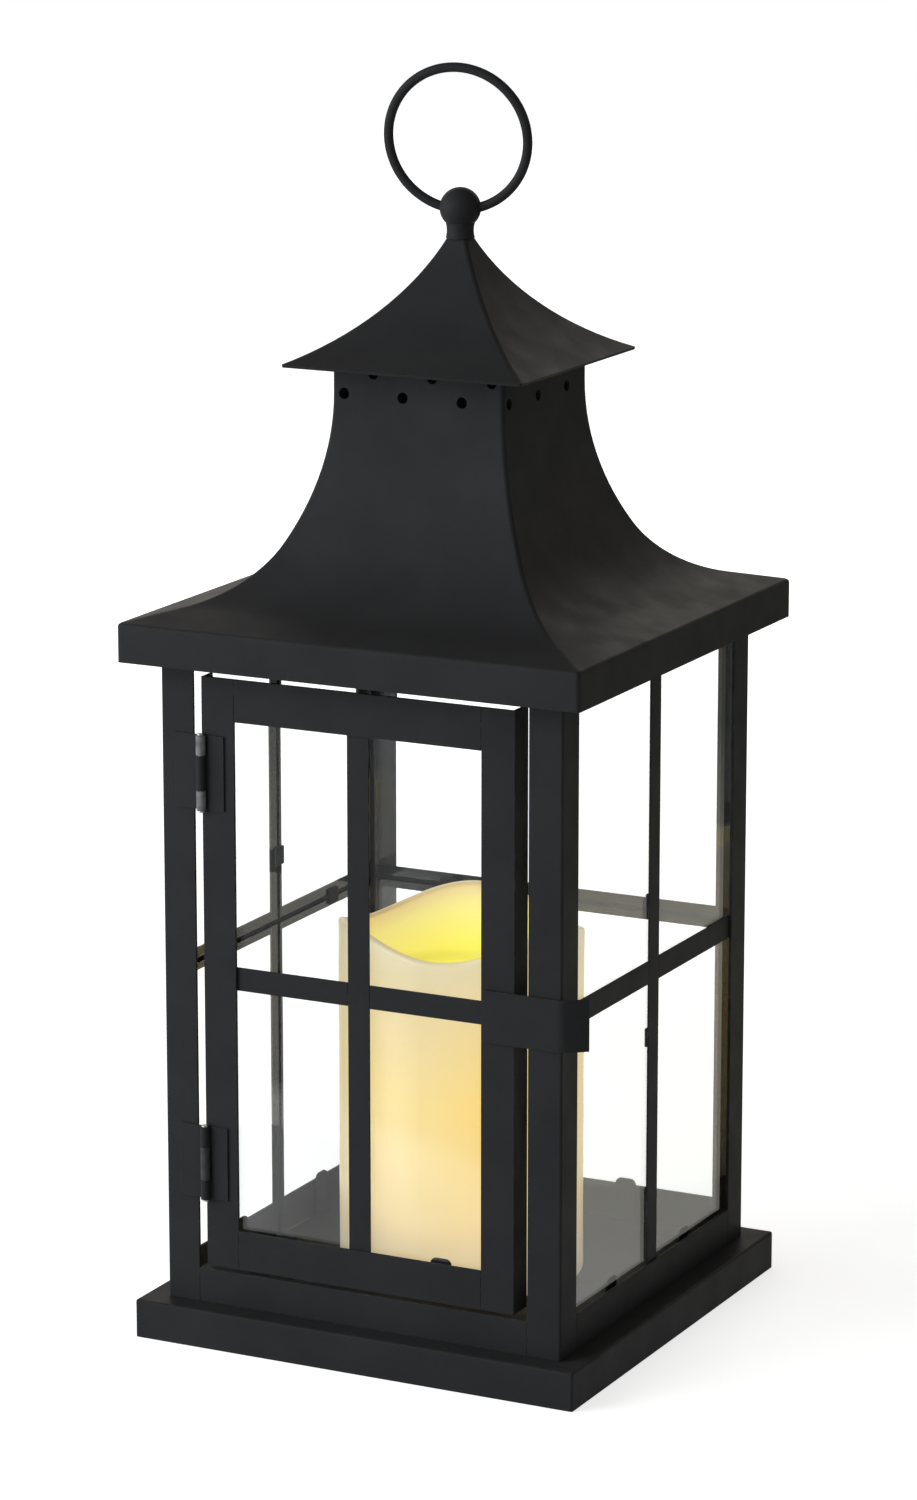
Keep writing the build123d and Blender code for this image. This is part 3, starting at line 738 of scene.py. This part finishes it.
def vent_tools():
    """One tool for each face of the neck: drills for a zigzag row of vent holes."""
    step = 2 * (neck_half - vent_margin) / (vent_count - 1)
    upper = neck_top - vent_upper_drop
    tools = []
    for quarter in range(4):
        shape = bmesh.new()
        for index in range(vent_count):
            across = -neck_half + vent_margin + index * step
            height = upper if index % 2 else upper - vent_row_gap
            drill(shape, across, height, quarter)
        tools.append(closed_mesh(shape, "vents"))
    return tools


def cut(mesh, tool_meshes):
    """The mesh with each tool cut out of it."""
    target = new_object("cut_target", mesh)
    tools = [new_object("cut_tool", tool_mesh) for tool_mesh in tool_meshes]
    for tool in tools:
        step = target.modifiers.new("cut", "BOOLEAN")
        step.operation = "DIFFERENCE"
        step.solver = "EXACT"
        step.object = tool
    bpy.context.view_layer.update()
    graph = bpy.context.evaluated_depsgraph_get()
    result = bpy.data.meshes.new_from_object(target.evaluated_get(graph))
    for thing in [target, *tools]:
        bpy.data.objects.remove(thing)
    return result


def rim_height(radius, angle):
    """Height of the wavy rim of the candle."""
    swell = wave_rise * (radius / (candle_radius - candle_wall / 2)) ** wave_count
    return candle_top + swell * math.cos(wave_count * (angle - wave_phase))


def candle_outline(angle):
    """Closed section of the candle wall at one angle; each point comes with 1 in the recess, else 0."""
    foot_centre = (candle_radius - foot_round, candle_bottom + foot_round)
    outer = arc(foot_centre, foot_round, -right_angle, 0.0, edge_round_steps)
    outer_rim = rim_height(candle_radius - rim_round, angle) - rim_round
    outer += straight(outer[-1], (candle_radius, outer_rim), candle_wall_steps)
    outer += arc((candle_radius - rim_round, outer_rim), rim_round, 0.0, right_angle, edge_round_steps)[1:]
    inner_rim = rim_height(candle_bore + rim_round, angle) - rim_round
    inner = arc((candle_bore + rim_round, inner_rim), rim_round, right_angle, math.pi, edge_round_steps)
    inner += straight(inner[-1], (candle_bore, recess_floor + recess_round), recess_steps)
    recess_centre = (candle_bore - recess_round, recess_floor + recess_round)
    inner += arc(recess_centre, recess_round, 0.0, -right_angle, recess_round_steps)[1:]
    inner += straight(inner[-1], (lamp_hole_radius, recess_floor), recess_steps)
    web_bottom = recess_floor - candle_web
    under = [(lamp_hole_radius, web_bottom), (candle_bore, web_bottom)]
    under += straight(under[-1], (candle_bore, candle_bottom), candle_bore_steps)
    sections = [(point, 0.0) for point in outer] + [(point, 1.0) for point in inner]
    return sections + [(point, 0.0) for point in under]


def candle_mesh():
    """Candle with its depth below the rim and its recess marked for the glow of the wax."""
    shape = bmesh.new()
    depth_layer = shape.verts.layers.float.new("depth")
    inner_layer = shape.verts.layers.float.new("inner")
    rings = []
    for side in range(candle_sides):
        angle = full_turn * side / candle_sides
        outward = Vector((math.cos(angle), math.sin(angle), 0.0))
        top = rim_height(candle_radius - candle_wall / 2, angle)
        ring = []
        for (radius, height), inner in candle_outline(angle):
            spot = outward * radius + Vector((0.0, 0.0, height))
            if radius > candle_bore + rim_round and height > candle_bottom + foot_round:
                spot -= outward * wax_unevenness * (0.5 + 0.5 * noise.noise(spot / wax_patch))
            vertex = shape.verts.new(spot)
            vertex[depth_layer] = top - height
            vertex[inner_layer] = inner
            ring.append(vertex)
        rings.append(ring)
    skin(shape, rings, closed=True)
    return closed_mesh(shape, "candle_shell_finished")


# Pieces

def place_piece(node, mesh, material):
    """Put a finished mesh in the place of a node."""
    piece = new_object(node + "_finished", mesh)
    mesh.materials.clear()
    mesh.materials.append(material)
    for face in mesh.polygons:
        face.use_smooth = True
    mesh.set_sharp_from_angle(angle=smooth_angle)
    weighted = piece.modifiers.new("weighted_normals", "WEIGHTED_NORMAL")
    weighted.keep_sharp = True
    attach(piece, node_body[node])
    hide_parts(node)


def rounding_of(node):
    """Edge rounding of a node, finer on glass, hinges and the pieces of the candle."""
    fine = "glass" in node or "hinge" in node or node_body[node] == "candle"
    return small_edge_round if fine else edge_round


roof_sheet = square_shell("roof_shell_finished", roof_outline(0.0), roof_outline(sheet))
shaped = {
    "roof_shell": cut(roof_sheet, vent_tools()),
    "roof_cap": square_shell("roof_cap_finished", cap_outline(0.0), cap_outline(sheet)),
    "candle_shell": candle_mesh(),
}
for node in node_body:
    mesh = shaped[node] if node in shaped else dressed_mesh(node, rounding_of(node))
    place_piece(node, mesh, grey_barrel_leaves.get(node, materials[node_slot[node]]))


# Stage: a pale floor, soft lamps, a white surround and the camera

def ray_kinds(tree):
    """1 for rays that show the surround itself, for those that show it in a reflection and through glass."""
    half_bounce = 0.5
    path = add(tree, "ShaderNodeLightPath")
    plain = math_node(tree, "LESS_THAN", path.outputs["Diffuse Depth"], half_bounce)
    mirrored = math_node(tree, "GREATER_THAN", path.outputs["Glossy Depth"], half_bounce)
    through = math_node(tree, "GREATER_THAN", path.outputs["Transmission Depth"], half_bounce)
    return plain, mirrored, through


def pale_floor():
    """Pale floor that keeps its shadows and fades into the white surround."""
    material, tree = new_tree("pale_floor")
    place = local_place(tree)
    plain, mirrored, through = ray_kinds(tree)
    reach = vector_node(tree, "LENGTH", place).outputs["Value"]
    outward = vector_node(tree, "NORMALIZE", place).outputs["Vector"]
    front_edge = (front_edge_distance - front_edge_blur, front_edge_distance + front_edge_blur)
    beyond = remap(tree, along(tree, place, front_edge_facing), front_edge)
    distant = remap(tree, reach, (bright_floor_reach, dim_floor_reach))
    dim = math_node(tree, "MAXIMUM", beyond, distant)
    # Painted pool of light, seen only in reflections, on the side towards the key lamp
    painted_pool = remap(tree, along(tree, outward, painted_pool_facing), painted_pool_edge, painted_pool_glow)
    mirrored_glow = blend_values(tree, dim, painted_pool, dim_floor_glow)
    seen_glow = remap(tree, reach, fade_floor_reach, fade_floor_glow)
    seen_glow = math_node(tree, "ADD", seen_glow, product(tree, through, glass_loss))
    strength = product(tree, plain, blend_values(tree, mirrored, seen_glow, mirrored_glow))
    behind = remap(tree, axis_part(tree, place, "Y"), (0.0, warm_floor_depth))
    shade = blend(tree, product(tree, mirrored, behind), grey(1.0), tint(1.0, 0.97, 0.80))
    colour = two_tone(tree, speckle(tree, place, 60 * MM, detail=3.0), grey(0.78), grey(0.81))
    colour = blend(tree, product(tree, mirrored, dim), colour, grey(dim_floor_grey))
    diffuse = add(tree, "ShaderNodeBsdfDiffuse", {"Color": colour}).outputs[0]
    glow = add(tree, "ShaderNodeEmission", {"Color": shade, "Strength": strength}).outputs[0]
    finish_material(tree, add(tree, "ShaderNodeAddShader", {0: diffuse, 1: glow}).outputs[0])
    return material


def floor():
    mesh = bpy.data.meshes.new("floor")
    corner = (floor_half, floor_half)
    corners = [(*quarter_turned(*corner, quarter), -floor_drop) for quarter in range(4)]
    mesh.from_pydata(corners, [], [(0, 1, 2, 3)])
    mesh.materials.append(pale_floor())
    plane = new_object("floor", mesh)


def direction(azimuth, elevation):
    """Unit vector from the lantern; azimuth 0 is straight in front of the door, positive to the right."""
    level = math.cos(elevation)
    return Vector((math.sin(azimuth) * level, -math.cos(azimuth) * level, math.sin(elevation)))


def soft_lamp(name, azimuth, elevation, distance, size, power, colour):
    """Rectangular lamp that faces the lantern and is itself unseen."""
    data = bpy.data.lights.new(name, "AREA")
    data.shape = "RECTANGLE"
    data.size, data.size_y = size
    data.energy = power
    data.color = colour
    lamp = new_object(name, data)
    toward = direction(math.radians(azimuth), math.radians(elevation))
    lamp.location = toward * distance + Vector((0.0, 0.0, camera_target_height))
    lamp.rotation_euler = toward.to_track_quat("Z", "Y").to_euler()
    lamp.visible_camera = False
    lamp.visible_transmission = False


def surround():
    """White surround; in reflections brightest at the horizon, warm behind the lantern, dim at the right."""
    warm_from_behind = (-0.3, 0.5)
    dim_to_right = (0.05, 0.5)
    right_glow = (1.0, 0.35)
    world = bpy.data.worlds.new("surround")
    world.use_nodes = True
    tree = world.node_tree
    tree.nodes.clear()
    toward = add(tree, "ShaderNodeTexCoord").outputs["Generated"]
    upward = axis_part(tree, toward, "Z")
    behind = remap(tree, axis_part(tree, toward, "Y"), warm_from_behind)
    right_share = remap(tree, axis_part(tree, toward, "X"), dim_to_right, right_glow)
    warmth = blend(tree, behind, tint(0.96, 0.98, 1.0), tint(1.0, 0.94, 0.85))
    reflected = ramp(tree, upward, [
        (0.10, grey(0.95)),
        (0.30, grey(0.80)),
        (0.45, grey(0.55)),
        (0.65, grey(0.25)),
        (1.0, grey(0.12)),
    ])
    reflected = colour_product(tree, colour_product(tree, reflected, warmth), right_share)
    ambient = ramp(tree, upward, [
        (0.0, grey(0.30)),
        (0.5, grey(0.22)),
        (1.0, grey(0.16)),
    ])
    ambient = colour_product(tree, ambient, warmth)
    plain, mirrored, through = ray_kinds(tree)
    white = blend(tree, through, grey(1.0), grey(1.0 + glass_loss))
    colour = blend(tree, plain, ambient, blend(tree, mirrored, white, reflected))
    light = add(tree, "ShaderNodeBackground", {"Color": colour, "Strength": 1.0})
    add(tree, "ShaderNodeOutputWorld", {"Surface": light.outputs[0]})
    bpy.context.scene.world = world


def camera():
    data = bpy.data.cameras.new("camera")
    data.lens = camera_lens
    data.sensor_width = camera_sensor
    eye = new_object("camera", data)
    backward = direction(camera_azimuth, camera_elevation)
    sideways = Vector((math.cos(camera_azimuth), math.sin(camera_azimuth), 0.0))
    target = sideways * camera_target_shift + Vector((0.0, 0.0, camera_target_height))
    eye.location = target + backward * camera_distance
    eye.rotation_euler = backward.to_track_quat("Z", "Y").to_euler()
    bpy.context.scene.camera = eye


floor()
soft_lamp("key_lamp", **key_lamp)
soft_lamp("back_lamp", **back_lamp)
surround()
camera()
bpy.context.scene.view_settings.view_transform = "Standard"
